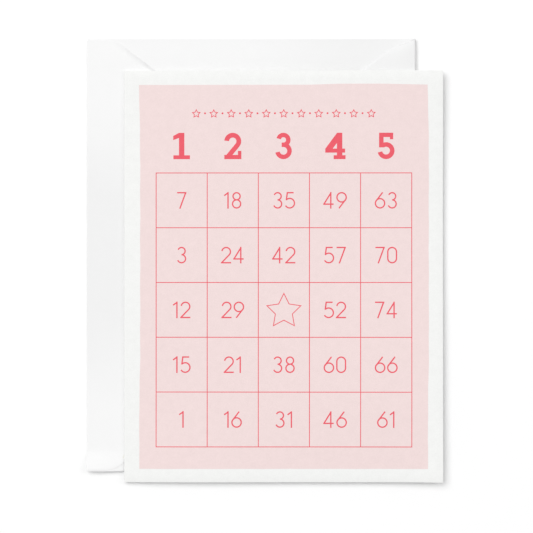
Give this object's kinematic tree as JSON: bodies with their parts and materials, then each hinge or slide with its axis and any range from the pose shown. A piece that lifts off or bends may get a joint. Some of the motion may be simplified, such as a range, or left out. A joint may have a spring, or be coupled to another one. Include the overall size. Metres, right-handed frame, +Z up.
{
  "type": "bingo card",
  "caption": "Folded paper bingo card, printed with a ruled grid of numbers, that opens like a book and lies closed on its own envelope, whose flap opens when the card is lifted.",
  "frame": {"origin": "middle of the footprint on the table, under the envelope", "axes": "+Y towards the top of the printed face, +X towards the card's free edge (its fold is on the -X side), +Z up out of the printed face"},
  "size_m": [0.1207, 0.1504, 0.0037],
  "materials": {
    "card_stock": "matte",
    "print_blush": "matte",
    "print_coral": "matte",
    "envelope_paper": "matte",
    "gum": "satin"
  },
  "bodies": {
    "envelope": {"envelope_front_panel": "envelope_paper", "envelope_fold_left": "envelope_paper", "envelope_fold_upper": "envelope_paper", "envelope_fold_lower": "envelope_paper", "envelope_bottom_flap": "envelope_paper", "envelope_side_flap_upper": "envelope_paper", "envelope_side_flap_lower": "envelope_paper", "seam_gum": "gum", "envelope_flap_fold": "envelope_paper"},
    "envelope_flap": {"envelope_closure_flap": "envelope_paper", "flap_gum_strip": "gum"},
    "card_back": {"card_back_leaf": "card_stock", "card_fold": "card_stock"},
    "card_cover": {"card_cover_leaf": "card_stock", "printed_ground": "print_blush", "bingo_grid": "print_coral", "column_numerals": "print_coral", "square_numbers": "print_coral", "free_space_star": "print_coral", "heading_ornament": "print_coral"}
  },
  "joints": [
    {"name": "card_lift", "type": "slide", "parent": "envelope", "child": "card_back", "axis": [0, 0, 1], "range_m": [0, 0.2]},
    {"name": "cover_fold", "type": "hinge", "parent": "card_back", "child": "card_cover", "pos_m": [-0.04714, -0.00555, 0.00137], "axis": [0, -1, 0], "range_deg": [0, 175], "deforming": ["card_fold"]},
    {"name": "flap_fold", "type": "hinge", "parent": "envelope", "child": "envelope_flap", "pos_m": [0.05055, 0.00178, 0.0007], "axis": [0, 1, 0], "range_deg": [0, 178], "deforming": ["envelope_flap_fold"]}
  ],
  "couplings": [
    {"joint": "flap_fold", "follows": "card_lift", "rad_per_m": 15.5}
  ]
}
